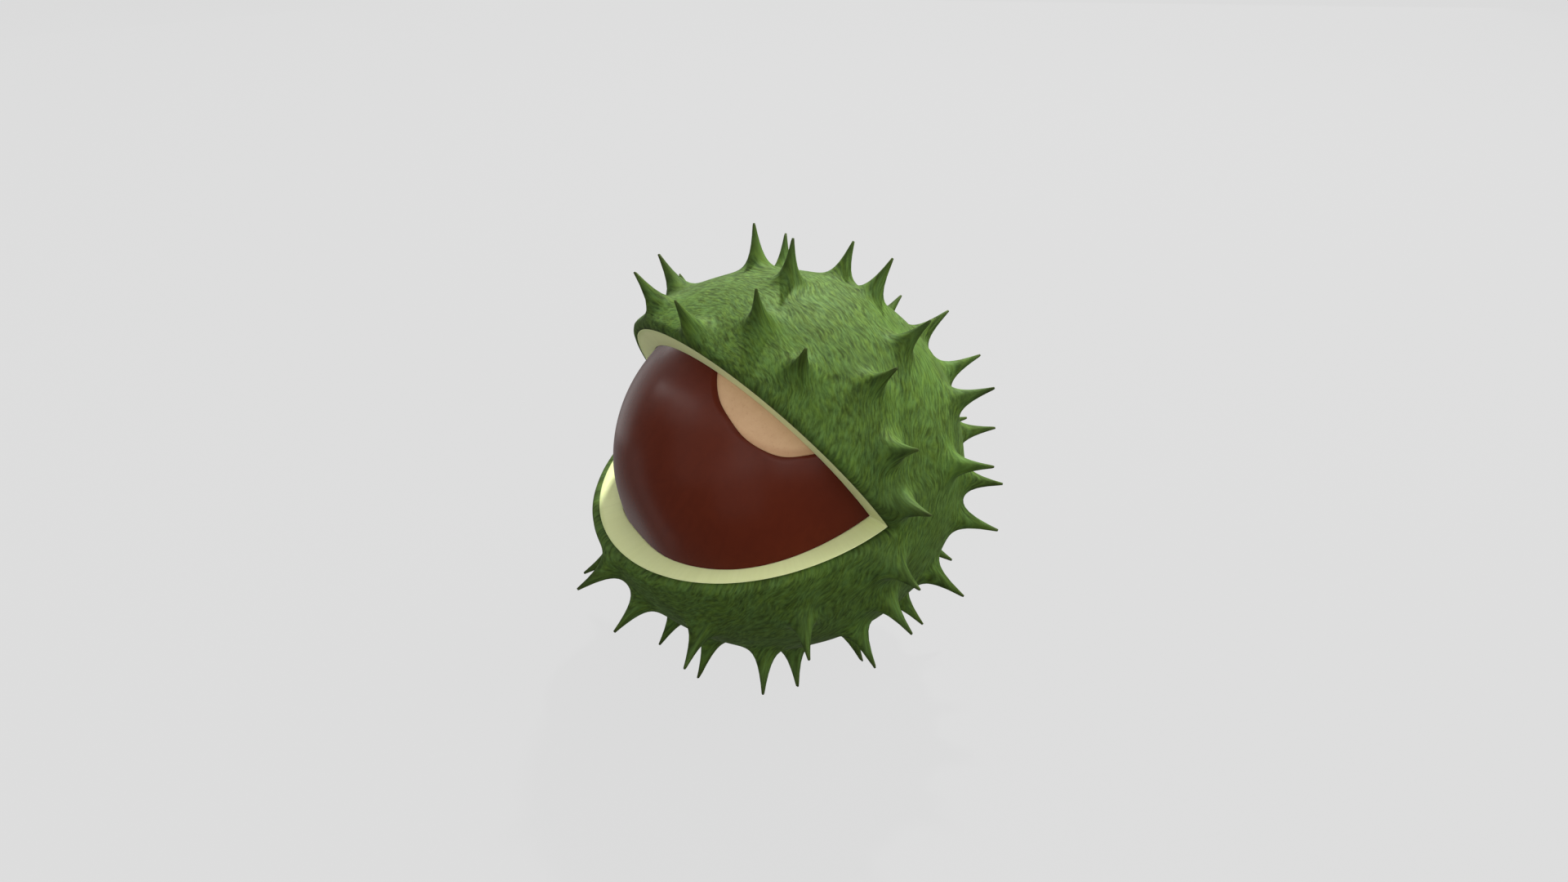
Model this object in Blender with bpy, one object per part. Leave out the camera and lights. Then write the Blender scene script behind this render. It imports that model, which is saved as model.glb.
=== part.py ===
"""A horse chestnut in its husk, split open at one side.

Metres, +Z up. The origin lies on the surface that the husk rests on, under its centre. The mouth faces
-Y and a little up, and its two corners lie on the X axis through the husk's centre. Directions are given
as a longitude from +X towards +Y and a latitude from the level plane up, in degrees.
"""
from math import acos, asin, atan2, cos, exp, hypot, pi, radians, sin, sqrt, tau
import random

import bmesh
import bpy
from mathutils import Matrix, Vector

# Husk
BODY_RADIUS = 0.024
CENTRE_HEIGHT = 1.105 * BODY_RADIUS
LIP_UPPER = radians(54.8)
LIP_LOWER = radians(-18.6)
RIND_THICKNESS = 0.0008
GAP = 0.0003
LUMP = 0.006
LUMP_MIDDLE = 1.2
# Smooth hills and dips of the husk: longitude, latitude, height as a share of the radius, tightness
HUSK_HILLS = ((-127, 16, 0.040, 6.5), (-175, 64, -0.012, 6), (-10, -14, -0.010, 5))

# Nut and the pale scar where it grew on the husk
NUT_RADIUS = 0.832 * BODY_RADIUS
NUT_LUMP = 0.006
NUT_HILLS = ((0, 0, -0.044, 7), (-98, -16, -0.034, 25), (-46, -13, 0.018, 16))
SCAR_LONGITUDE = -24
SCAR_LATITUDE = 52
SCAR_HALF_ANGLE = radians(26.2)
SCAR_THICKNESS = 0.0009

# Spines: the rings round each one are distances along the skin from its axis
SPINE_TIP_RADIUS = 0.00016
SPINE_FLARE = 0.00072
SPINE_RINGS = (0.00016, 0.0005, 0.0010, 0.0018, 0.0030)
SPINE_RING_SPREAD = (radians(1.7), radians(3.1), radians(4.6), radians(6.4), radians(8.6))
SPINE_SIDES = 6
SPINE_LENGTH = 0.0053
SPINE_SPACING = radians(20)
SKIN_POINTS = 1100
SKIN_POINT_CLEARANCE = radians(9.5)

# The spines that can be seen: longitude, latitude, and how far the tip stands out in millimetres
SEEN_SPINES = (
    (161, 75, 5.3), (138, 56, 5.3), (17, 84, 5.3), (86, 66, 4.8), (63, 60, 5.3), (101, 31, 5.3),
    (78, 33, 5.3), (29, 47, 5.3), (67, 23, 5.3), (44, 23, 5.3), (81, -1, 5.3), (65, 3, 5.3),
    (27, 10, 5.3), (41, -1, 4.8), (2, 41, 5.3), (-25, 49, 5.3), (-44, 65, 5.3), (0, 23, 5.3),
    (1, 8, 5.3), (36, -11, 5.4), (62, -35, 5.3), (26, -26, 5.3), (-1, -10, 5.3), (39, -47, 5.3),
    (2, -26, 5.3), (-3, -40, 5.3), (-27, -26, 5.3), (-40, -53, 5.4), (-62, -36, 5.3),
    (-109, -58, 5.3), (-90, -35, 5.2), (-99, -24, 5.2), (-123, -33, 5.3), (-128, 56, 5.3),
    (-162, 53, 5.3), (176, 37, 5.3), (-80, 58, 5.3),
)
# The broader spines beside the mouth's right corner: longitude and latitude
BROAD_SPINES = ((0, 23), (1, 8), (-1, -10))
BROAD_FLARE = 0.00095
# The low spines that it rests on, their tips worn level, round a blunt one straight under its centre
FOOT_SPINES = (
    (-21, -66, 5.4), (27, -64, 5.7), (-81, -63, 6.0),
    (78, -65, 5.6), (130, -65, 5.6), (-175, -65, 5.6),
)
BLUNT_FOOT_RADIUS = 0.0008
BLUNT_FOOT_WEAR = 0.0001

# The scar left by the stalk, at the back of the husk opposite the mouth
STALK_LONGITUDE = 90
STALK_LATITUDE = -18
STALK_RADIUS = 0.0024
STALK_HEIGHT = 0.0007
STALK_CLEARANCE = radians(19)

# Where unseen spines may grow: away from the side that the list above covers, and off the lips
SEEN_SIDE_LONGITUDE = -36
SEEN_SIDE_LATITUDE = 25
SEEN_SIDE_ANGLE = radians(118)
LIP_CLEARANCE = radians(8)
SEED = 11
JITTER = radians(2.5)


def direction(longitude, latitude):
    """The unit vector at a longitude and latitude in degrees."""
    east, north = radians(longitude), radians(latitude)
    return Vector((cos(north) * cos(east), cos(north) * sin(east), sin(north)))


def angle_round_hinge(way):
    """The angle of a direction about the X axis, from -Y towards +Z."""
    return atan2(way.z, -way.y)


def angle_from_lips(way):
    """The angle between a direction and the nearer lip's edge, both lips ending on the X axis."""
    turn = angle_round_hinge(way)
    off = min(acos(cos(turn - LIP_UPPER)), acos(cos(turn - LIP_LOWER)))
    from_hinge = hypot(way.y, way.z)
    return asin(min(1.0, from_hinge * sin(min(off, pi / 2))))


def in_mouth(way):
    return LIP_LOWER < angle_round_hinge(way) < LIP_UPPER


def lumps(way, phase):
    """A slow swell and dip over the surface, between -1 and 1."""
    x, y, z = way
    return (sin(2.6 * x + 1.3 * z + phase) + sin(3.1 * y - 2.2 * x + 2 * phase)
            + sin(2.9 * z + 1.7 * y + 3 * phase)) / 3


def hills(way, table):
    """The height of all the hills in a direction, each falling off smoothly round its middle."""
    return sum(height * exp(-tightness * (1 - way.dot(direction(longitude, latitude))))
               for longitude, latitude, height, tightness in table)


def body_radius(way):
    """The distance from the centre to the husk's skin between its spines."""
    return BODY_RADIUS * (1 + LUMP * (lumps(way, 0.7) - LUMP_MIDDLE) + hills(way, HUSK_HILLS))


def nut_radius(way):
    """The distance from the centre to the nut's surface."""
    return NUT_RADIUS * (1 + NUT_LUMP * lumps(way, 2.1) + hills(way, NUT_HILLS))


class Spine:
    """One spine, its height falling off as an exponential with the distance from its axis."""

    def __init__(self, axis, length, tip_radius=SPINE_TIP_RADIUS, flare=SPINE_FLARE):
        self.axis = axis
        self.length = BODY_RADIUS + length - body_radius(axis)
        self.tip_radius = tip_radius
        self.flare = flare

    def height(self, distance):
        return self.length * exp(-max(0.0, distance - self.tip_radius) / self.flare)

    def rings(self):
        """The distance of each ring from the axis, and its wider angle while the skin is laid out."""
        wider = self.tip_radius - SPINE_TIP_RADIUS
        return [(ring + wider, spread) for ring, spread in zip(SPINE_RINGS, SPINE_RING_SPREAD)]


def may_grow(way):
    """True where an unseen spine may stand."""
    seen_side = direction(SEEN_SIDE_LONGITUDE, SEEN_SIDE_LATITUDE)
    stalk = direction(STALK_LONGITUDE, STALK_LATITUDE)
    return (way.angle(seen_side) > SEEN_SIDE_ANGLE and way.angle(stalk) > STALK_CLEARANCE
            and not in_mouth(way) and angle_from_lips(way) > LIP_CLEARANCE)


def even_points(count):
    """Directions spread evenly over the sphere, along a spiral at the golden angle."""
    turn = pi * (3 - sqrt(5))
    for step in range(count):
        z = 1 - (2 * step + 1) / count
        flat = sqrt(1 - z * z)
        yield Vector((flat * cos(step * turn), flat * sin(step * turn), z))


def grow_unseen(spines):
    """Adds spines at the back, each at the point furthest from the others, then nudged a little."""
    draw = random.Random(SEED)
    candidates = [way for way in even_points(3000) if may_grow(way)]
    axes = [spine.axis for spine in spines]
    while True:
        spot = max(candidates, key=lambda way: min(way.angle(axis) for axis in axes))
        if min(spot.angle(axis) for axis in axes) < SPINE_SPACING:
            return
        nudge = Vector((draw.uniform(-1, 1), draw.uniform(-1, 1), draw.uniform(-1, 1))) * JITTER
        axis = (spot + nudge).normalized()
        axes.append(axis)
        spines.append(Spine(axis, SPINE_LENGTH * draw.uniform(0.92, 1.04)))


def all_spines():
    """Every spine of the husk, and the stalk's scar, which is made as a low wide one."""
    stalk_way = direction(STALK_LONGITUDE, STALK_LATITUDE)
    stalk = Spine(stalk_way, STALK_HEIGHT, STALK_RADIUS, SPINE_FLARE / 2)
    blunt_foot_length = CENTRE_HEIGHT - BODY_RADIUS + BLUNT_FOOT_WEAR
    blunt_foot = Spine(direction(0, -90), blunt_foot_length, BLUNT_FOOT_RADIUS)
    spines = [stalk, blunt_foot]
    for longitude, latitude, length in (*FOOT_SPINES, *SEEN_SPINES):
        flare = BROAD_FLARE if (longitude, latitude) in BROAD_SPINES else SPINE_FLARE
        spines.append(Spine(direction(longitude, latitude), length / 1000, flare=flare))
    grow_unseen(spines)
    return spines


def turned_from(axis, angle, turn):
    """The direction at an angle from an axis, a turn round it."""
    side = axis.orthogonal().normalized()
    side.rotate(Matrix.Rotation(turn, 3, axis))
    return axis * cos(angle) + side * sin(angle)


def skin_point(way, spines):
    """The point of the outer skin in a direction: the body, and each near spine along its own axis."""
    point = way * body_radius(way)
    for spine in spines:
        angle = way.angle(spine.axis, 0.0)
        if angle < SPINE_RING_SPREAD[-1] * 2:
            point += spine.axis * spine.height(angle * BODY_RADIUS)
    point.z = max(point.z, -CENTRE_HEIGHT)
    return point


def outer_skin(spines):
    """A closed skin with rings of points round each spine and even points between them."""
    bm = bmesh.new()
    places = {}

    def add(layout, place):
        places[bm.verts.new(layout)] = place

    axes = [spine.axis for spine in spines]
    for number, spine in enumerate(spines):
        add(spine.axis, skin_point(spine.axis, spines))
        for distance, spread in spine.rings():
            for side in range(SPINE_SIDES):
                turn = tau * side / SPINE_SIDES + number
                layout = turned_from(spine.axis, spread, turn)
                if min(layout.angle(axis) for axis in axes) < spread * 0.98:
                    continue
                way = turned_from(spine.axis, distance / BODY_RADIUS, turn)
                add(layout, skin_point(way, spines))
    for way in even_points(SKIN_POINTS):
        if min(way.angle(axis) for axis in axes) > SKIN_POINT_CLEARANCE:
            add(way, skin_point(way, spines))
    left_over = bmesh.ops.convex_hull(bm, input=list(bm.verts))
    bmesh.ops.delete(bm, geom=left_over["geom_interior"], context="VERTS")
    for vert in bm.verts:
        vert.co = places[vert]
    return bm


def ball(radius_at, level=4):
    """A closed ball whose radius in each direction is given by a function."""
    bm = bmesh.new()
    bmesh.ops.create_icosphere(bm, subdivisions=level, radius=1)
    for vert in bm.verts:
        way = vert.co.normalized()
        vert.co = way * radius_at(way)
    return bm


def wedge(reach):
    """The space of the mouth: two flat faces that meet on the X axis."""
    bm = bmesh.new()
    corners = [Vector((-reach, 0, 0))]
    for angle in (LIP_LOWER, (LIP_LOWER + LIP_UPPER) / 2, LIP_UPPER):
        corners.append(Vector((-reach, -reach * cos(angle), reach * sin(angle))))
    face = bm.faces.new([bm.verts.new(corner) for corner in corners])
    swept = bmesh.ops.extrude_face_region(bm, geom=[face])
    moved = [item for item in swept["geom"] if isinstance(item, bmesh.types.BMVert)]
    bmesh.ops.translate(bm, verts=moved, vec=(2 * reach, 0, 0))
    return bm


def cone(axis, half_angle, reach):
    """A solid cone with its point at the centre, opening along an axis."""
    bm = bmesh.new()
    bmesh.ops.create_cone(bm, cap_ends=True, segments=36, radius1=0, radius2=reach * sin(half_angle),
                          depth=reach * cos(half_angle))
    bmesh.ops.translate(bm, verts=bm.verts, vec=(0, 0, reach * cos(half_angle) / 2))
    bmesh.ops.rotate(bm, verts=bm.verts, cent=(0, 0, 0), matrix=axis.to_track_quat("Z", "Y").to_matrix())
    return bm


def new_object(name, bm, collection, centre):
    bmesh.ops.recalc_face_normals(bm, faces=bm.faces)
    mesh = bpy.data.meshes.new(name)
    bm.to_mesh(mesh)
    bm.free()
    mesh.shade_smooth()
    mesh.set_sharp_from_angle(angle=radians(50))
    made = bpy.data.objects.new(name, mesh)
    made.parent = centre
    collection.objects.link(made)
    return made


def cutter(name, bm, collection, centre):
    made = new_object(name, bm, collection, centre)
    made.hide_render = True
    made.display_type = "WIRE"
    return made


def cut(target, tool, operation="DIFFERENCE"):
    modifier = target.modifiers.new(tool.name, "BOOLEAN")
    modifier.operation = operation
    modifier.object = tool


def finish(made, colour, roughness):
    material = bpy.data.materials.new(made.name)
    material.use_nodes = True
    shader = material.node_tree.nodes["Principled BSDF"]
    shader.inputs["Base Color"].default_value = (*colour, 1)
    shader.inputs["Roughness"].default_value = roughness
    shader.inputs["Metallic"].default_value = 0
    made.data.materials.append(material)


def build_husk(parts, tools, centre):
    """The green skin with its spines, and the pale flesh inside it, both open at the mouth."""
    mouth = cutter("mouth_space", wedge(3 * BODY_RADIUS), tools, centre)
    skin_bed = cutter("skin_bed", ball(lambda way: body_radius(way) - RIND_THICKNESS), tools, centre)
    hollow = cutter("hollow", ball(lambda way: nut_radius(way) + GAP), tools, centre)

    rind = new_object("husk_rind", outer_skin(all_spines()), parts, centre)
    cut(rind, skin_bed)
    cut(rind, mouth)
    finish(rind, (0.10, 0.20, 0.05), 0.75)

    flesh = new_object("husk_flesh", ball(lambda way: body_radius(way) - RIND_THICKNESS - GAP),
                       parts, centre)
    cut(flesh, hollow)
    cut(flesh, mouth)
    finish(flesh, (0.62, 0.66, 0.38), 0.65)


def build_chestnut(parts, tools, centre):
    """The brown nut, and its pale scar as a thin cap let into it."""
    scar_way = direction(SCAR_LONGITUDE, SCAR_LATITUDE)
    gap_angle = GAP / NUT_RADIUS
    reach = 1.5 * NUT_RADIUS
    core = cutter("scar_core", ball(lambda way: nut_radius(way) - SCAR_THICKNESS), tools, centre)
    recess_core = cutter("recess_core", ball(lambda way: nut_radius(way) - SCAR_THICKNESS - GAP),
                         tools, centre)
    scar_cone = cutter("scar_cone", cone(scar_way, SCAR_HALF_ANGLE, reach), tools, centre)
    recess = cutter("recess", cone(scar_way, SCAR_HALF_ANGLE + gap_angle, reach), tools, centre)
    cut(recess, recess_core)

    nut = new_object("chestnut", ball(nut_radius), parts, centre)
    cut(nut, recess)
    finish(nut, (0.10, 0.02, 0.01), 0.2)

    scar = new_object("chestnut_scar", ball(nut_radius), parts, centre)
    cut(scar, scar_cone, "INTERSECT")
    cut(scar, core)
    finish(scar, (0.50, 0.31, 0.16), 0.55)


def new_collection(name):
    collection = bpy.data.collections.new(name)
    bpy.context.scene.collection.children.link(collection)
    return collection


for old in list(bpy.data.objects):
    bpy.data.objects.remove(old)
husk_parts = new_collection("chestnut_in_husk")
cutting_tools = new_collection("cutters")
husk_centre = bpy.data.objects.new("husk_centre", None)
husk_centre.location = (0, 0, CENTRE_HEIGHT)
husk_parts.objects.link(husk_centre)
build_husk(husk_parts, cutting_tools, husk_centre)
build_chestnut(husk_parts, cutting_tools, husk_centre)
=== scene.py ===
"""A horse chestnut in its split husk: a glossy nut with its pale scar, cream flesh and a green spiny skin.

Metres, +Z up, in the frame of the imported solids. Directions are unit vectors from the husk's centre, and
tables give them as a longitude from +X towards +Y and a latitude up from level, in degrees.
"""
import random

import bpy
from mathutils import Matrix
import numpy as np


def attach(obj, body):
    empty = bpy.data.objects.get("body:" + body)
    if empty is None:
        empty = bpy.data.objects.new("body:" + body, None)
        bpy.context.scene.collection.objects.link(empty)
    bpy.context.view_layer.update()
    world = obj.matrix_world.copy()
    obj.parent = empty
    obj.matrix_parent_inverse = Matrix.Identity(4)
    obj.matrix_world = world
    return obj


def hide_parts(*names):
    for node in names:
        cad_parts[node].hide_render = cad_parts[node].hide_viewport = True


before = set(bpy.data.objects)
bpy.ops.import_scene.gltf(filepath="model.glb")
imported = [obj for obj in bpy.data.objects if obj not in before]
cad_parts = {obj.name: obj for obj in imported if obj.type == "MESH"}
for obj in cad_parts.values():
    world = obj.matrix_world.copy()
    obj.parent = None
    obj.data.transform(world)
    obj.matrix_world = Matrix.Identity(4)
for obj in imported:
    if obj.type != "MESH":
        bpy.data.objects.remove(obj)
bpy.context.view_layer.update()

# The nut. A ripe seed in a thin, hard, polished shell, dark red-brown with a faint figure like wood. It is
# nearly round and lies loose in the hollow of the husk. Where it grew on the husk its shell is set back a
# little, and the pale scar fills that place.
BODY_RADIUS = 0.024
HUSK_CENTRE = np.array((0, 0, 1.105 * BODY_RADIUS))
NUT_RADIUS = 0.832 * BODY_RADIUS
NUT_SWELL = 0.006
NUT_SWELL_PHASE = 2.1
NUT_HILLS = (  # longitude, latitude, height in nut radii, and tightness
    (0, 0, -0.044, 7), (-98, -16, -0.034, 25), (-46, -13, 0.018, 16),
)
NUT_ROWS, NUT_COLUMNS = 150, 241
NUT_GLOSS = 0.095
NUT_ROUGHNESS = (0.25, 0.27)
NUT_GRAIN_DEPTH = 0.000003
SCAR_LONGITUDE = -24
SCAR_LATITUDE = 52
SCAR_EDGE = np.radians(26.2)
SCAR_EDGE_WAVES = ((0.35, 3, 0.6), (0.22, 5, 2.1), (0.10, 11, 0))  # degrees, waves once round, and phase
SCAR_EDGE_BULGES = ((0.6, 12, 1.25), (-1.2, 8, 0.22))  # degrees, tightness, and turn in radians
SCAR_SEAT_DEPTH = 0.00035
SCAR_SEAT_SLOPE = np.radians(0.5)


def direction(longitude, latitude):
    """Unit vectors (cos north * cos east, cos north * sin east, sin north) from longitude and latitude."""
    east, north = np.radians(longitude), np.radians(latitude)
    return np.stack((np.cos(north) * np.cos(east), np.cos(north) * np.sin(east), np.sin(north)), -1)


SCAR_WAY = direction(SCAR_LONGITUDE, SCAR_LATITUDE)


def swell(ways, phase):
    """A slow swell and dip over the sphere, from -1 to 1: the mean of three sines of slanting lines."""
    x, y, z = np.moveaxis(ways, -1, 0)
    return (np.sin(2.6 * x + 1.3 * z + phase) + np.sin(3.1 * y - 2.2 * x + 2 * phase)
            + np.sin(2.9 * z + 1.7 * y + 3 * phase)) / 3


def ways_round(axis, angle, turn):
    """Directions at an angle from an axis, a turn round it: axis * cos(angle) + side * sin(angle)."""
    side = np.cross(axis, (0.0, 0.0, 1.0))
    side /= np.linalg.norm(side)
    across = np.cross(axis, side)
    out = side * np.cos(turn)[..., None] + across * np.sin(turn)[..., None]
    return axis * np.cos(angle)[..., None] + out * np.sin(angle)[..., None]


def smooth_step(value, low, high):
    """0 below low and 1 above high, with the S curve 3t^2 - 2t^3 between them."""
    t = np.clip((value - low) / (high - low), 0, 1)
    return t * t * (3 - 2 * t)


def grid_triangles(rows, columns):
    """Two triangles for each cell of a grid of points kept row by row, facing along rows x columns."""
    row, column = np.mgrid[0:rows - 1, 0:columns - 1]
    corner = (row * columns + column).ravel()
    right, below = corner + 1, corner + columns
    return np.concatenate((np.stack((corner, below, right), -1), np.stack((right, below, below + 1), -1)))


def weld(points, triangles):
    """Points closer than a hundredth of a micron made one, and the triangles that this flattens left out."""
    _, first, joined = np.unique(np.round(points * 1e8).astype(np.int64), axis=0,
                                 return_index=True, return_inverse=True)
    triangles = joined.ravel()[triangles]
    a, b, c = triangles.T
    return points[first], triangles[(a != b) & (b != c) & (c != a)]


def make_piece(name, points, triangles, material, node):
    """A smooth closed mesh of points given from the husk's centre, in place of one solid of the frame."""
    points, triangles = weld(points, triangles)
    mesh = bpy.data.meshes.new(name)
    mesh.vertices.add(len(points))
    mesh.vertices.foreach_set("co", (points + HUSK_CENTRE).ravel())
    mesh.loops.add(triangles.size)
    mesh.loops.foreach_set("vertex_index", triangles.ravel())
    mesh.polygons.add(len(triangles))
    mesh.polygons.foreach_set("loop_start", np.arange(0, triangles.size, 3))
    mesh.update(calc_edges=True)
    mesh.validate()
    mesh.shade_smooth()
    mesh.materials.append(material)
    piece = bpy.data.objects.new(name, mesh)
    bpy.context.scene.collection.objects.link(piece)
    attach(piece, "root")
    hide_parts(node)
    return piece


def scar_edge(turn):
    """The angle of the scar's edge from its middle, at a turn round it: one angle, a few sines of the turn,
    and a bulge and a dip, each height * exp(tightness * (cosine of the turn from its middle - 1))."""
    waver = sum(height * np.sin(waves * turn + phase) for height, waves, phase in SCAR_EDGE_WAVES)
    waver += sum(height * np.exp(tightness * (np.cos(turn - middle) - 1))
                 for height, tightness, middle in SCAR_EDGE_BULGES)
    return SCAR_EDGE + np.radians(waver)


def hills(ways, table):
    """The sum of smooth hills, each height * exp(-tightness * (1 - cosine of the angle from its middle))."""
    return sum(height * np.exp(-tightness * (1 - ways @ direction(longitude, latitude)))
               for longitude, latitude, height, tightness in table)


def nut_radius(ways):
    """The nut is round with a slow swell, and a little flat where it lies against the mouth's corners:
    radius * (1 + swell + hills)."""
    return NUT_RADIUS * (1 + NUT_SWELL * swell(ways, NUT_SWELL_PHASE) + hills(ways, NUT_HILLS))


class Wire:
    """A socket of a shader, on which the signs of arithmetic add the Math nodes that they stand for."""

    def __init__(self, finish, socket):
        self.finish, self.socket = finish, socket

    def maths(self, operation, *values):
        """A Math node of an operation on values or sockets."""
        return self.finish.node("ShaderNodeMath", dict(enumerate(values)), operation=operation)

    def __add__(self, other):
        return self.maths("ADD", self, other)

    def __sub__(self, other):
        return self.maths("SUBTRACT", self, other)

    def __rsub__(self, other):
        return self.maths("SUBTRACT", other, self)

    def __mul__(self, other):
        return self.maths("MULTIPLY", self, other)

    def __truediv__(self, other):
        return self.maths("DIVIDE", self, other)

    def __pow__(self, other):
        return self.maths("POWER", self, other)

    __radd__ = __add__
    __rmul__ = __mul__


class Finish:
    """A material whose shader is built up node by node."""

    def __init__(self, name, **constant):
        self.material = bpy.data.materials.new(name)
        self.material.use_nodes = True
        self.tree = self.material.node_tree
        self.shader = self.tree.nodes["Principled BSDF"]
        for socket, value in constant.items():
            self.shader.inputs[socket.replace("_", " ")].default_value = value

    def fill(self, socket, value):
        """A socket linked to another, or set to a value."""
        if isinstance(value, Wire):
            self.tree.links.new(value.socket, socket)
        else:
            socket.default_value = value

    def node(self, kind, sockets, output=0, **settings):
        """A node of a kind, its settings made first, then its sockets given values or links."""
        made = self.tree.nodes.new(kind)
        for setting, value in settings.items():
            setattr(made, setting, value)
        for socket, value in sockets.items():
            self.fill(made.inputs[socket], value)
        return Wire(self, made.outputs[output])

    def place(self):
        """The vector from the husk's centre, in husk radii."""
        here = self.node("ShaderNodeTexCoord", {}, "Object")
        away = self.node("ShaderNodeVectorMath", {0: here, 1: tuple(HUSK_CENTRE)}, operation="SUBTRACT")
        return self.node("ShaderNodeVectorMath", {0: away, "Scale": 1 / BODY_RADIUS}, operation="SCALE")

    def reach(self, vector):
        """The length of a vector."""
        return self.node("ShaderNodeVectorMath", {0: vector}, "Value", operation="LENGTH")

    def unit(self, vector):
        """A vector's direction, at length 1."""
        return self.node("ShaderNodeVectorMath", {0: vector}, operation="NORMALIZE")

    def along(self, vector, axis):
        """How far a vector reaches along an axis."""
        return self.node("ShaderNodeVectorMath", {0: vector, 1: tuple(axis)}, "Value",
                         operation="DOT_PRODUCT")

    def vector(self, x, y, z):
        """A vector of three values."""
        return self.node("ShaderNodeCombineXYZ", {0: x, 1: y, 2: z})

    def noise(self, vector, scale, detail=2, roughness=0.5, distortion=0):
        """Cloudy noise from 0 to 1, with so many clouds to one unit of the vector."""
        return self.node("ShaderNodeTexNoise", {"Vector": vector, "Scale": scale, "Detail": detail,
                                                "Roughness": roughness, "Distortion": distortion})

    def spread(self, value, low, high, to_low=0, to_high=1):
        """A value's range low to high stretched smoothly over to_low to to_high."""
        return self.node("ShaderNodeMapRange", {"Value": value, 1: low, 2: high, 3: to_low, 4: to_high},
                         interpolation_type="SMOOTHSTEP")

    def blend(self, share, one, other):
        """Colour one going over to the other colour by a share from 0 to 1."""
        return self.node("ShaderNodeMix", {0: share, 6: one, 7: other}, 2, data_type="RGBA")

    def give(self, **links):
        """The shader's own sockets, linked or set."""
        for socket, value in links.items():
            self.fill(self.shader.inputs[socket.replace("_", " ")], value)

    def bump(self, height, depth):
        """A normal roughened by a height from 0 to 1, at a depth in metres."""
        return self.node("ShaderNodeBump", {"Height": height, "Distance": depth})


def paint(red, green, blue):
    """The linear colour of a paint given in the 0 to 255 of a colour chart."""
    share = np.array((red, green, blue)) / 255
    linear = np.where(share > 0.04045, ((share + 0.055) / 1.055) ** 2.4, share / 12.92)
    return (*linear, 1.0)


NUT_BROWN = paint(80, 29, 13)
NUT_FIGURE_BROWN = paint(84, 31, 14)
NUT_CLOUD_BROWN = paint(78, 28, 13)


def nut_finish():
    """Polished brown: a fine figure drawn out from the scar to the far end, and slow cloudy changes."""
    finish = Finish("polished_nut_shell", Specular_IOR_Level=NUT_GLOSS)
    place = finish.place()
    across = np.cross(SCAR_WAY, (1.0, 0.0, 0.0))
    across /= np.linalg.norm(across)
    height = finish.along(place, SCAR_WAY)
    side, front = finish.along(place, across), finish.along(place, np.cross(SCAR_WAY, across))
    drawn_out = finish.vector(side * 9, front * 9, height * 2.2)
    figure = finish.noise(drawn_out, scale=1.6, detail=5, roughness=0.6, distortion=1.2)
    cloud, grain = finish.noise(place, scale=2.1), finish.noise(place, scale=60)
    brown = finish.blend(finish.spread(figure, 0.35, 0.65), NUT_BROWN, NUT_FIGURE_BROWN)
    brown = finish.blend(finish.spread(cloud, 0.35, 0.7) * 0.5, brown, NUT_CLOUD_BROWN)
    finish.give(Base_Color=brown, Roughness=finish.spread(figure, 0.3, 0.7, *NUT_ROUGHNESS),
                Normal=finish.bump(grain, NUT_GRAIN_DEPTH))
    return finish.material


turn = np.linspace(0, 2 * np.pi, NUT_COLUMNS)[None, :]
share = np.linspace(0, 1, NUT_ROWS)[:, None]
angle = np.pi * (share + 0 * turn)
ways = ways_round(SCAR_WAY, angle, turn + 0 * share)
seat = 1 - smooth_step(angle, scar_edge(turn) - SCAR_SEAT_SLOPE, scar_edge(turn) + SCAR_SEAT_SLOPE)
nut_points = ways * (nut_radius(ways) - SCAR_SEAT_DEPTH * seat)[..., None]
make_piece("nut_shell", nut_points.reshape(-1, 3), grid_triangles(NUT_ROWS, NUT_COLUMNS), nut_finish(),
           "chestnut")

# The scar. The pale, dull, corky disc where the nut was joined to the husk and fed by it. It is part of the
# shell, a thin skin level with the polished brown round it, with a sharp edge.
SCAR_DOME = 0.00012
SCAR_BED = 0.0006
SCAR_ROWS = 60
SCAR_TAN = paint(192, 156, 119)
SCAR_PALE_TAN = paint(197, 161, 124)
SCAR_GRAIN_TAN = paint(170, 130, 95)
SCAR_RIM_BROWN = paint(150, 104, 72)
SCAR_GLOSS = 0.1
SCAR_ROUGHNESS = (0.62, 0.75)
SCAR_GRAIN_DEPTH = 0.00005


def scar_finish():
    """Dull tan cork: faint mottling, a fine grain and a slightly darker rim."""
    finish = Finish("pale_nut_scar", Specular_IOR_Level=SCAR_GLOSS)
    place = finish.place()
    mottle = finish.noise(place, scale=14, detail=4, roughness=0.6)
    grain = finish.noise(place, scale=70, detail=3, roughness=0.6)
    tan = finish.blend(finish.spread(mottle, 0.3, 0.7), SCAR_TAN, SCAR_PALE_TAN)
    tan = finish.blend(finish.spread(grain, 0.55, 0.75) * 0.35, tan, SCAR_GRAIN_TAN)
    down_from_middle = 1 - finish.along(place, SCAR_WAY) / (NUT_RADIUS / BODY_RADIUS)
    rim = finish.spread(down_from_middle, 0.085, 0.103)
    finish.give(Base_Color=finish.blend(rim * 0.35, tan, SCAR_RIM_BROWN),
                Roughness=finish.spread(grain, 0.3, 0.7, *SCAR_ROUGHNESS),
                Normal=finish.bump(grain + mottle, SCAR_GRAIN_DEPTH))
    return finish.material


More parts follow.
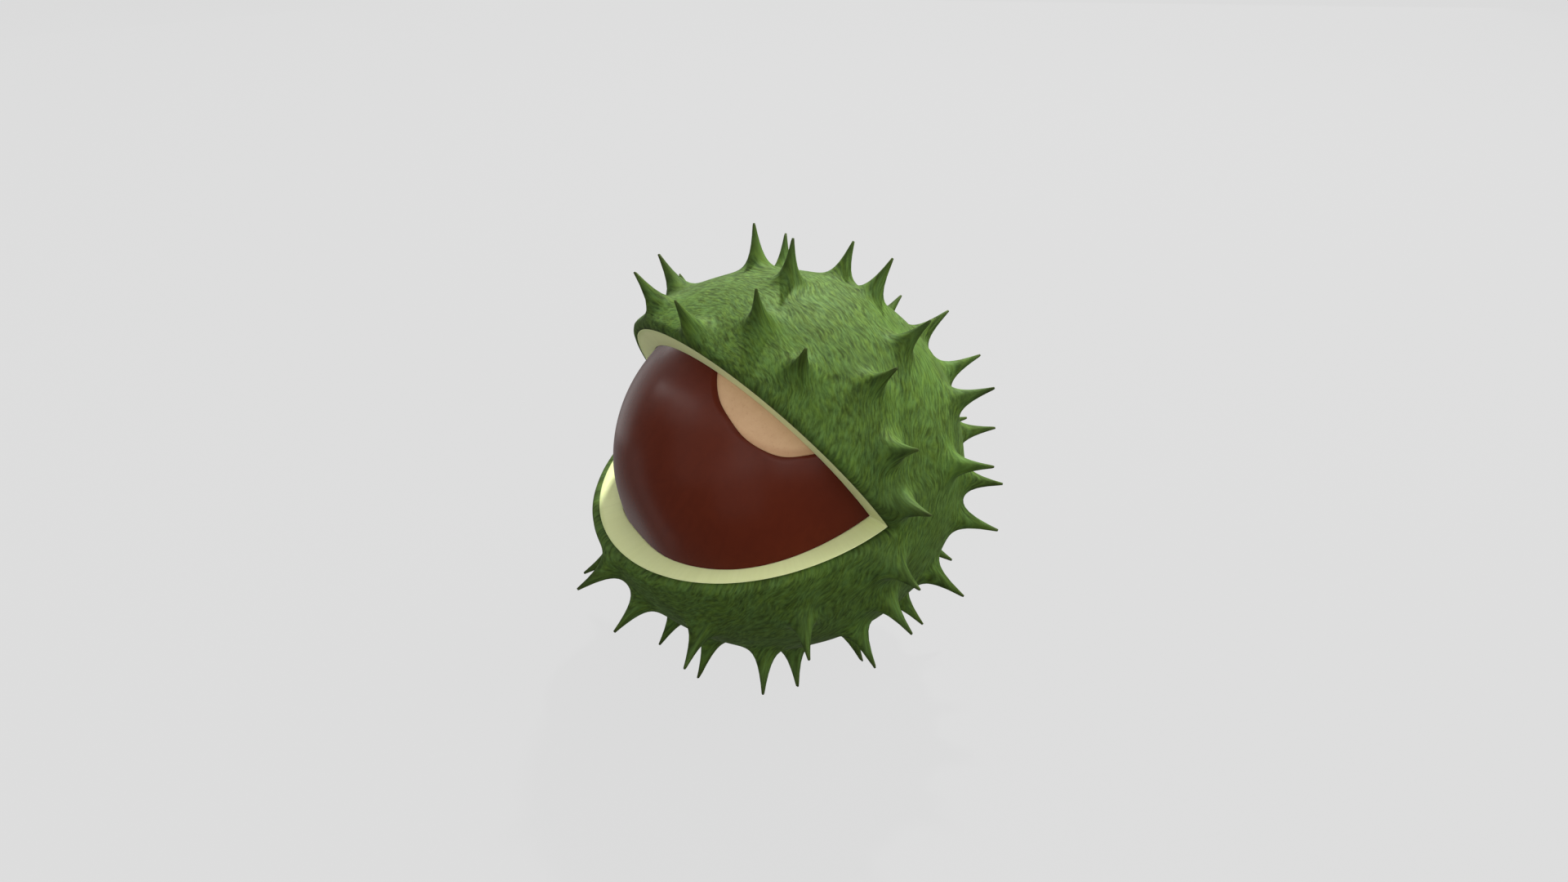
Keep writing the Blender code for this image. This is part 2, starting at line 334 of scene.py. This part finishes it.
share = np.concatenate((np.linspace(0, 1, SCAR_ROWS), np.linspace(1, 0, SCAR_ROWS // 2)))[:, None]
angle = scar_edge(turn) * share
ways = ways_round(SCAR_WAY, angle, turn + 0 * share)
underside = (np.arange(len(share)) >= SCAR_ROWS)[:, None]
rounded = SCAR_DOME * (1 - share ** 12)
depth = np.where(underside, -SCAR_BED, rounded - SCAR_DOME * 0.5)
scar_points = ways * (nut_radius(ways) + depth)[..., None]
make_piece("nut_scar", scar_points.reshape(-1, 3), grid_triangles(len(share), NUT_COLUMNS), scar_finish(),
           "chestnut_scar")

# The flesh of the husk. A firm cream wall round the nut, cut clean through along the two lips of the mouth,
# which meet at a corner on each side. It lies close against the nut and is one with the green skin.
LIP_UPPER = np.radians(54.8)
LIP_LOWER = np.radians(-18.6)
BODY_SWELL = 0.006
BODY_SWELL_PHASE = 0.7
BODY_SWELL_MIDDLE = 1.2
HUSK_HILLS = (  # longitude, latitude, height in husk radii, and tightness
    (-127, 16, 0.040, 6.5), (-175, 64, -0.012, 6), (-10, -14, -0.010, 5),
)
SKIN_DEPTH = 0.0012
SKIN_FIT = 0.00003
NUT_FIT = 0.00005
FLESH_PLACES = 181
BACK_PLACES, CUT_PLACES = 60, 26
CREAM = paint(214, 221, 162)
THREAD_CREAM = paint(217, 224, 166)
CLOUD_CREAM = paint(210, 217, 158)
GREENISH_CREAM = paint(168, 186, 110)
FLESH_GLOSS = 0.1
FLESH_ROUGHNESS = (0.52, 0.62)
FLESH_SHINE_THROUGH = 0.12
FLESH_SHINE_DEPTH = 0.0015
FLESH_SHINE_COLOURS = (0.6, 0.5, 0.25)
THREAD_DEPTH = 0.00001


def body_radius(ways):
    """The husk is round with a slow swell, and its lips stand out on the far side of the mouth:
    radius * (1 + swell + hills)."""
    slow = BODY_SWELL * (swell(ways, BODY_SWELL_PHASE) - BODY_SWELL_MIDDLE)
    return BODY_RADIUS * (1 + slow + hills(ways, HUSK_HILLS))


def ways_round_hinge(polar, lap):
    """Directions at a polar angle from +X and a lap about X from -Y towards +Z:
    (cos polar, -sin polar * cos lap, sin polar * sin lap)."""
    return np.stack((np.cos(polar) + 0 * lap, -np.sin(polar) * np.cos(lap), np.sin(polar) * np.sin(lap)), -1)


def flesh_finish():
    """Cream, a little greener next to the skin, with faint threads running out through the wall."""
    finish = Finish("cream_husk_flesh", Specular_IOR_Level=FLESH_GLOSS,
                    Subsurface_Weight=FLESH_SHINE_THROUGH, Subsurface_Scale=FLESH_SHINE_DEPTH,
                    Subsurface_Radius=FLESH_SHINE_COLOURS)
    place = finish.place()
    threads = finish.noise(finish.unit(place), scale=42, detail=3, roughness=0.55)
    cloud = finish.noise(place, scale=5)
    cream = finish.blend(finish.spread(threads, 0.35, 0.7), CREAM, THREAD_CREAM)
    cream = finish.blend(finish.spread(cloud, 0.4, 0.7) * 0.35, cream, CLOUD_CREAM)
    near_skin = finish.spread(finish.reach(place), 0.925, 0.955)
    finish.give(Base_Color=finish.blend(near_skin * 0.35, cream, GREENISH_CREAM),
                Roughness=finish.spread(cloud, 0.3, 0.7, *FLESH_ROUGHNESS),
                Normal=finish.bump(threads, THREAD_DEPTH))
    return finish.material


def wall_loop():
    """Once round the wall's cross-section: over the back, in through one cut face, back along the nut and
    out through the other cut face. Gives the share of the lap, and 1 at the outside to 0 at the nut."""
    back = np.linspace(0, 1, BACK_PLACES)
    cut = np.linspace(1, 0, CUT_PLACES)[1:-1]
    lap_share = np.concatenate((back, np.ones_like(cut), back[::-1], np.zeros_like(cut), (0.0,)))
    outside = np.concatenate((np.ones_like(back), cut, np.zeros_like(back), cut[::-1], (1.0,)))
    return lap_share, outside


lap_share, outside = wall_loop()
polar = np.linspace(0, np.pi, FLESH_PLACES)[:, None]
lap = LIP_UPPER + (LIP_LOWER - LIP_UPPER + 2 * np.pi) * lap_share[None, :]
ways = ways_round_hinge(polar, lap)
outer = body_radius(ways) - SKIN_DEPTH - SKIN_FIT
inner = nut_radius(ways) + NUT_FIT
flesh_points = ways * (inner + (outer - inner) * outside)[..., None]
flesh_triangles = grid_triangles(FLESH_PLACES, len(lap_share))[:, ::-1]
husk_wall = make_piece("husk_wall", flesh_points.reshape(-1, 3), flesh_triangles, flesh_finish(),
                       "husk_flesh")
husk_wall.visible_glossy = False  # the polished nut mirrors the lights alone

# The skin of the husk. A thin green hide, velvety with fine short streaks, that runs out into stiff pointed
# spines on broad bases. It rolls over to meet the flesh along the lips. A low round rise at the back is where
# the stalk was, and the husk stands on the worn tips of its lowest spines.
SPINE_TIP_RADIUS = 0.00016
SPINE_FLARE = 0.00072
SPINE_LENGTH = 0.0053
SPINE_LENGTH_SPREAD = (0.92, 1.04)
SPINE_SPACING = np.radians(20)
SEEN_SPINES = (  # longitude, latitude, and how far the tip stands out in millimetres
    (161, 75, 5.3), (138, 56, 5.3), (17, 84, 5.3), (86, 66, 4.8), (63, 60, 5.3), (101, 31, 5.3),
    (78, 33, 5.3), (29, 47, 5.3), (67, 23, 5.3), (44, 23, 5.3), (81, -1, 5.3), (65, 3, 5.3),
    (27, 10, 5.3), (41, -1, 4.8), (2, 41, 5.3), (-25, 49, 5.3), (-44, 65, 5.3), (0, 23, 5.3),
    (1, 8, 5.3), (36, -11, 5.4), (62, -35, 5.3), (26, -26, 5.3), (-1, -10, 5.3), (39, -47, 5.3),
    (2, -26, 5.3), (-3, -40, 5.3), (-27, -26, 5.3), (-40, -53, 5.4), (-62, -36, 5.3),
    (-109, -58, 5.3), (-90, -35, 5.2), (-99, -24, 5.2), (-123, -33, 5.3), (-128, 56, 5.3),
    (-162, 53, 5.3), (176, 37, 5.3), (-80, 58, 5.3),
)
BROAD_SPINES = ((0, 23), (1, 8), (-1, -10))  # those beside the mouth's right corner
BROAD_FLARE = 0.00095
FOOT_SPINES = (  # those whose worn tips the husk stands on, as in the list above
    (-21, -66, 5.4), (27, -64, 5.7), (-81, -63, 6.0),
    (78, -65, 5.6), (130, -65, 5.6), (-175, -65, 5.6),
)
BLUNT_FOOT_RADIUS = 0.0008
BLUNT_FOOT_WEAR = 0.0001
STALK_WAY = direction(90, -18)
STALK_RADIUS = 0.0024
STALK_HEIGHT = 0.0007
STALK_CLEARANCE = np.radians(19)
SEEN_SIDE = direction(-36, 25)
SEEN_SIDE_ANGLE = np.radians(118)
LIP_CLEARANCE = np.radians(8)
SEED = 11
SPOTS = 3000
JITTER = np.radians(2.5)
LIP_ROLL = 0.0008
SKIN_SECTORS, SKIN_ROWS = 3, 165
LIP_ZONE = np.radians(7)
LIP_ZONE_MOST = 0.25
SPINE_REACH = np.radians(9.5)
SPINE_DRAW = 2.5
LIP_SHARE_FREE = 0.95
INNER_COLUMNS = 13
STREAK_DARK_WARM, STREAK_LIGHT_WARM = paint(37, 48, 14), paint(82, 106, 39)
STREAK_DARK_COOL, STREAK_LIGHT_COOL = paint(35, 48, 21), paint(78, 106, 52)
PATCH_DULL, PATCH_FRESH = paint(58, 76, 38), paint(80, 112, 42)
SPINE_GREEN, TIP_BROWN = paint(44, 52, 22), paint(56, 58, 34)
FINE_STREAKS, LONG_STREAKS, HUE_STREAKS = (23, 96), (13, 54), (16, 66)  # along and across a circle
SKIN_GLOSS = 0.04
SKIN_ROUGHNESS = (0.72, 0.6)
STREAK_DEPTH = 0.00004


def angle_between(ways, axis):
    """The angle of each direction from an axis: acos(way . axis)."""
    return np.arccos(np.clip(ways @ axis, -1, 1))


def angle_from_lips(ways):
    """The angle to the nearer lip: asin(distance from the hinge line * sin(turn from the lip))."""
    lap = np.arctan2(ways[..., 2], -ways[..., 1])
    off = np.minimum(np.arccos(np.cos(lap - LIP_UPPER)), np.arccos(np.cos(lap - LIP_LOWER)))
    from_hinge = np.hypot(ways[..., 1], ways[..., 2])
    return np.arcsin(np.clip(from_hinge * np.sin(np.minimum(off, np.pi / 2)), 0, 1))


def even_ways(count):
    """Directions spread evenly over the sphere, each turned on from the last by the golden angle."""
    step = np.arange(count)
    z = 1 - (2 * step + 1) / count
    flat, turned = np.sqrt(1 - z * z), step * np.pi * (3 - np.sqrt(5))
    return np.stack((flat * np.cos(turned), flat * np.sin(turned), z), -1)


def unseen_spines(axes):
    """Axes and lengths at the back: each at the point furthest from the others, then nudged a little."""
    draw = random.Random(SEED)
    spots = even_ways(SPOTS)
    lap = np.arctan2(spots[:, 2], -spots[:, 1])
    spots = spots[(angle_between(spots, SEEN_SIDE) > SEEN_SIDE_ANGLE)
                  & (angle_between(spots, STALK_WAY) > STALK_CLEARANCE)
                  & ((lap < LIP_LOWER) | (lap > LIP_UPPER)) & (angle_from_lips(spots) > LIP_CLEARANCE)]
    nearest = angle_between(spots, axes.T).min(-1)
    found = []
    while nearest.max() >= SPINE_SPACING:
        spot = spots[nearest.argmax()]
        axis = spot + np.array([draw.uniform(-1, 1) for _ in range(3)]) * JITTER
        axis /= np.linalg.norm(axis)
        found.append((axis, SPINE_LENGTH * draw.uniform(*SPINE_LENGTH_SPREAD)))
        nearest = np.minimum(nearest, angle_between(spots, axis))
    return found


listed = np.array((*FOOT_SPINES, *SEEN_SPINES))
spine_axes = np.vstack((STALK_WAY, direction(0, -90), direction(listed[:, 0], listed[:, 1])))
blunt_foot_length = HUSK_CENTRE[2] - BODY_RADIUS + BLUNT_FOOT_WEAR
spine_lengths = np.concatenate(((STALK_HEIGHT, blunt_foot_length), listed[:, 2] / 1000))
spine_tips = np.full(len(spine_axes), SPINE_TIP_RADIUS)
spine_tips[:2] = STALK_RADIUS, BLUNT_FOOT_RADIUS
spine_flares = np.full(len(spine_axes), SPINE_FLARE)
spine_flares[0] = SPINE_FLARE / 2
broad = (listed[:, None, :2] == np.array(BROAD_SPINES)).all(-1).any(-1)
spine_flares[2:][broad] = BROAD_FLARE
unseen = unseen_spines(spine_axes)
spine_axes = np.vstack((spine_axes, [axis for axis, _ in unseen]))
spine_lengths = np.concatenate((spine_lengths, [length for _, length in unseen]))
spine_tips = np.concatenate((spine_tips, np.full(len(unseen), SPINE_TIP_RADIUS)))
spine_flares = np.concatenate((spine_flares, np.full(len(unseen), SPINE_FLARE)))
spine_heights = BODY_RADIUS + spine_lengths - body_radius(spine_axes)


def drawn_to_start(share, zone, power=2.0):
    """Shares in a zone after 0 drawn together at 0: zone * u^p * (p - (p - 1) * u), u = share / zone."""
    u = np.clip(share / zone, 0, 1)
    return np.where(share < zone, zone * u ** power * (power - (power - 1) * u), share)


def drawn_to_spines(ways):
    """Directions near a spine drawn towards its axis, so that its steep side gets enough of them: the angle
    from the axis is drawn together at 0, in a zone clear of the next spine and of the lips."""
    to_next = angle_between(spine_axes, spine_axes.T) + 2 * np.pi * np.eye(len(spine_axes))
    to_lips = angle_from_lips(spine_axes) * LIP_SHARE_FREE
    reach = np.minimum(np.minimum(SPINE_REACH, to_next.min(-1) / 2), to_lips)
    cosines = ways @ spine_axes.T
    nearest = cosines.argmax(-1)
    axis, zone = spine_axes[nearest], reach[nearest]
    old = np.arccos(np.clip(cosines[np.arange(len(ways)), nearest], -1, 1))
    new = drawn_to_start(old, zone, SPINE_DRAW)
    side = ways - axis * np.cos(old)[:, None]
    side /= np.maximum(np.linalg.norm(side, axis=-1), 1e-9)[:, None]
    return np.where((old < zone)[:, None], axis * np.cos(new)[:, None] + side * np.sin(new)[:, None], ways)


def skin_points(ways):
    """The outer skin: the body, and each spine along its axis at height * exp(-(distance - tip) / flare),
    all drawn down to the flesh along a quarter circle within the roll of a lip, and level at the floor."""
    points = ways * body_radius(ways)[:, None]
    for axis, height, tip, flare in zip(spine_axes, spine_heights, spine_tips, spine_flares):
        distance = angle_between(ways, axis) * BODY_RADIUS
        points += axis * (height * np.exp(-np.maximum(0, distance - tip) / flare))[:, None]
    edge = ways * (body_radius(ways) - SKIN_DEPTH)[:, None]
    along = np.clip(angle_from_lips(ways) * BODY_RADIUS / LIP_ROLL, 0, 1)
    points = edge + (points - edge) * np.sqrt(1 - (1 - along) ** 2)[:, None]
    points[:, 2] = np.maximum(points[:, 2], -HUSK_CENTRE[2])
    return points


def fan(sectors, rows):
    """A fan of even triangles, whose row r has sectors * r steps. Gives each point's row, its share of the
    way along the row, and the triangles: those from each step to the row before, then to the row after."""
    every = np.arange(rows + 1)
    start = sectors * every * (every - 1) // 2 + every
    row = np.repeat(every, sectors * every + 1)
    step = np.arange(len(row)) - start[row]
    wide = np.repeat(every[:-1], sectors * every[1:])
    place = np.arange(len(wide)) - sectors * wide * (wide + 1) // 2
    inner = start[wide] + place - place // (wide + 1)
    outer = start[wide + 1] + place
    back = np.stack((inner, outer, outer + 1), -1)
    narrow = np.repeat(every[1:-1], sectors * every[1:-1])
    place = np.arange(len(narrow)) - sectors * narrow * (narrow - 1) // 2
    inner = start[narrow] + place
    outer = start[narrow + 1] + place + place // narrow + 1
    on = np.stack((inner, outer, inner + 1), -1)
    return row, step / np.maximum(1, sectors * row), np.concatenate((back, on))


def lap_from_share(polar, share):
    """The lap over the back from the upper lip to the lower, its steps drawn together at both lips."""
    whole = LIP_LOWER - LIP_UPPER + 2 * np.pi
    zone = np.minimum(LIP_ZONE_MOST, LIP_ZONE / np.maximum(1e-6, np.sin(polar) * whole))
    from_end = drawn_to_start(np.minimum(share, 1 - share), zone)
    return LIP_UPPER + whole * np.where(share < 0.5, from_end, 1 - from_end)


def skin_finish():
    """Fresh green hide: short streaks in circles round the mouth, light and dark, warm and cool, with slow
    patches, and spines that darken and turn brown at the tip."""
    finish = Finish("green_husk_skin", Specular_IOR_Level=SKIN_GLOSS)
    place = finish.place()
    way, away = finish.unit(place), finish.reach(place)
    mouth = (LIP_UPPER + LIP_LOWER) / 2
    mouth_way = np.array((0, -np.cos(mouth), np.sin(mouth)))
    mouth_up = np.cross((1, 0, 0), mouth_way)
    drift = finish.noise(way, scale=2.3) - 0.5
    from_mouth = finish.node("ShaderNodeMath", {0: finish.along(way, mouth_way)}, operation="ARCCOSINE")
    flat_x, flat_y = finish.along(way, (1, 0, 0)), finish.along(way, mouth_up)
    flat = (flat_x * flat_x + flat_y * flat_y + 0.0001) ** 0.5
    along_x, along_y = flat_x / flat, flat_y / flat
    across = from_mouth + drift * 0.3

    def streaked(scales, roughness, distortion=0, start=0):
        """Noise drawn out along the circles round the mouth."""
        along, over = scales
        stretched = finish.vector(along_x * along, along_y * along, across * over + start)
        return finish.noise(stretched, scale=1, roughness=roughness, distortion=distortion)

    streaks = streaked(FINE_STREAKS, roughness=0.55, distortion=0.1)
    longer = streaked(LONG_STREAKS, roughness=0.5, distortion=0.1)
    hue = streaked(HUE_STREAKS, roughness=0.55, start=9)
    patches = finish.noise(way, scale=3.2, detail=3, roughness=0.6)
    mottle = finish.noise(way, scale=9, detail=3, roughness=0.6)
    strokes = finish.spread(streaks * 0.58 + longer * 0.28 + mottle * 0.14, 0.26, 0.74)
    warm = finish.blend(strokes, STREAK_DARK_WARM, STREAK_LIGHT_WARM)
    cool = finish.blend(strokes, STREAK_DARK_COOL, STREAK_LIGHT_COOL)
    green = finish.blend(finish.spread(hue * 0.7 + mottle * 0.3, 0.3, 0.7), warm, cool)
    green = finish.blend(finish.spread(patches, 0.5, 0.72) * 0.4, green, PATCH_DULL)
    green = finish.blend(finish.spread(patches, 0.5, 0.3) * 0.25, green, PATCH_FRESH)
    green = finish.blend(finish.spread(away, 1.06, 1.2) * 0.35, green, SPINE_GREEN)
    green = finish.blend(finish.spread(away, 1.17, 1.23) * 0.5, green, TIP_BROWN)
    finish.give(Base_Color=green, Roughness=finish.spread(strokes, 0, 1, *SKIN_ROUGHNESS),
                Normal=finish.bump(streaks, STREAK_DEPTH))
    return finish.material


row, share, fan_triangles = fan(SKIN_SECTORS, SKIN_ROWS)
polar = drawn_to_start(np.pi / 2 * row / SKIN_ROWS, LIP_ZONE)
half = drawn_to_spines(ways_round_hinge(polar, lap_from_share(polar, share)))
other_half = drawn_to_spines(ways_round_hinge(np.pi - polar, lap_from_share(polar, share)))
inner_polar = drawn_to_start(np.linspace(0, np.pi / 2, SKIN_ROWS + 1), LIP_ZONE)
inner_polar = np.concatenate((inner_polar, np.pi - inner_polar[-2::-1]))[:, None]
inner_lap = np.linspace(LIP_UPPER, LIP_LOWER + 2 * np.pi, INNER_COLUMNS)[None, :]
inner_ways = ways_round_hinge(inner_polar, inner_lap).reshape(-1, 3)
inner_points = inner_ways * (body_radius(inner_ways) - SKIN_DEPTH)[:, None]
skin_parts = (skin_points(half), skin_points(other_half), inner_points)
# The halves mirror each other, so the triangles of one are turned over to face outwards.
skin_triangles = np.concatenate((
    fan_triangles[:, ::-1], fan_triangles + len(half),
    grid_triangles(len(inner_polar), INNER_COLUMNS) + 2 * len(half)))
husk_skin = make_piece("husk_skin", np.concatenate(skin_parts), skin_triangles, skin_finish(),
                       "husk_rind")
husk_skin.visible_glossy = False  # as for the wall

# The stage. A plain pale floor that glows evenly, so that no shadow lies on it, an even grey sky, one small
# hard light high up behind, and soft lights all round, most of which only shade the husk or only mirror in
# the nut. The camera looks a little down on the husk from its front right.
FLOOR_SIZE = 4.0
FLOOR_GREY = 0.01
FLOOR_GLOW = 0.7
SKY_GREY = 0.335
CAMERA_AZIMUTH = np.radians(53.7)
CAMERA_ELEVATION = np.radians(25.1)
CAMERA_AWAY = 7.336
CAMERA_RIGHT = 0.059
CAMERA_UP = 0.088
CAMERA_LENS = 32.11
CAMERA_SEES = (0.005, 20)
LAMP_DISTANCE = 0.6
KEY_LAMPS = (  # name; way as right, up and back of the camera's axes; width and height; and power
    ("key_light", (0.16, 0.9, -0.2), (0.03, 0.03), 7.1),
    ("left_window", (-0.6, 0.4, -0.68), (0.35, 0.45), 0.29),
)
SHADE_LAMPS = (  # those that only shade the husk
    ("top_right_light", (0.7, 0.65, 0.1), (0.5, 0.5), 3.4),
    ("top_back_light", (0.1, 0.6, -0.8), (0.6, 0.6), 3.2),
    ("top_front_light", (0.3, 0.8, 0.5), (0.5, 0.5), 0.6),
    ("front_light", (0, 0.15, 1), (0.5, 0.5), 1.55),
    ("right_light", (0.8, 0, 0.55), (0.5, 0.5), 1.1),
    ("left_light", (-0.9, -0.1, 0.35), (0.5, 0.5), 0.45),
)
SHEEN_LAMPS = (  # those that only mirror in the polished nut
    ("top_left_window", (-0.3, 0.7, -0.65), (0.3, 0.3), 0.45),
    ("bar", (-0.83, 0.53, 0.06), (0.5, 0.04), 0.38),
    ("bar_glow", (-0.8, 0.58, 0.1), (0.6, 0.3), 0.26),
    ("front_bar", (-0.73, 0.49, 0.48), (0.55, 0.2), 0.42),
    ("low_bar", (-0.9, -0.3, -0.3), (0.15, 0.45), 0.09),
    ("front_window", (-0.1, 0.25, 0.97), (0.5, 0.5), 1.0),
    ("front_left_window", (-0.62, 0.12, 0.72), (0.7, 0.5), 0.85),
    ("low_window", (-0.35, -0.3, 0.89), (0.4, 0.4), 0.38),
    ("front_right_window", (0.4, 0.1, 0.9), (0.4, 0.4), 1.1),
)

floor_mesh = bpy.data.meshes.new("floor")
half_floor = FLOOR_SIZE / 2
floor_mesh.from_pydata([(-half_floor, -half_floor, 0), (half_floor, -half_floor, 0),
                        (half_floor, half_floor, 0), (-half_floor, half_floor, 0)], [], [(0, 1, 2, 3)])
floor = bpy.data.objects.new("floor", floor_mesh)
bpy.context.scene.collection.objects.link(floor)
floor_finish = Finish("pale_floor", Roughness=1.0, Specular_IOR_Level=0.0,
                      Base_Color=(FLOOR_GREY, FLOOR_GREY, FLOOR_GREY, 1),
                      Emission_Color=(1, 1, 1, 1), Emission_Strength=FLOOR_GLOW)
floor_mesh.materials.append(floor_finish.material)
floor.visible_diffuse = floor.visible_glossy = False

world = bpy.data.worlds.new("soft_sky")
world.use_nodes = True
world.node_tree.nodes["Background"].inputs["Color"].default_value = (SKY_GREY, SKY_GREY, SKY_GREY, 1)
bpy.context.scene.world = world

back = np.array((np.sin(CAMERA_AZIMUTH) * np.cos(CAMERA_ELEVATION),
                 -np.cos(CAMERA_AZIMUTH) * np.cos(CAMERA_ELEVATION), np.sin(CAMERA_ELEVATION)))
right = np.array((np.cos(CAMERA_AZIMUTH), np.sin(CAMERA_AZIMUTH), 0))
up = np.cross(back, right)


def turned(x_axis, y_axis, z_axis, place):
    """The matrix that turns X, Y and Z to three axes and moves the origin to a place."""
    matrix = np.eye(4)
    matrix[:3, 0], matrix[:3, 1], matrix[:3, 2], matrix[:3, 3] = x_axis, y_axis, z_axis, place
    return Matrix(matrix.tolist())


def lamp(name, way, size, power):
    """A soft light that faces the husk with its width level, on a way given along the camera's axes."""
    data = bpy.data.lights.new(name, "AREA")
    data.shape, data.energy = "RECTANGLE", power
    data.size, data.size_y = size
    made = bpy.data.objects.new(name, data)
    made.visible_camera = False
    way = way[0] * right + way[1] * up + way[2] * back
    way /= np.linalg.norm(way)
    side = np.cross(up, way) if abs(up @ way) < 0.9 else np.cross(back, way)
    side /= np.linalg.norm(side)
    made.matrix_world = turned(side, np.cross(way, side), way, HUSK_CENTRE + way * LAMP_DISTANCE)
    bpy.context.scene.collection.objects.link(made)
    return made


for name, way, size, power in KEY_LAMPS:
    lamp(name, way, size, power)
for name, way, size, power in SHADE_LAMPS:
    lamp(name, way, size, power).visible_glossy = False
for name, way, size, power in SHEEN_LAMPS:
    lamp(name, way, size, power).visible_diffuse = False

camera = bpy.data.objects.new("camera", bpy.data.cameras.new("camera"))
camera.data.lens = CAMERA_LENS
camera.data.clip_start, camera.data.clip_end = CAMERA_SEES
place = HUSK_CENTRE + BODY_RADIUS * (CAMERA_AWAY * back + CAMERA_RIGHT * right + CAMERA_UP * up)
camera.matrix_world = turned(right, up, back, place)
bpy.context.scene.collection.objects.link(camera)
bpy.context.scene.camera = camera
bpy.context.scene.view_settings.view_transform = "Standard"
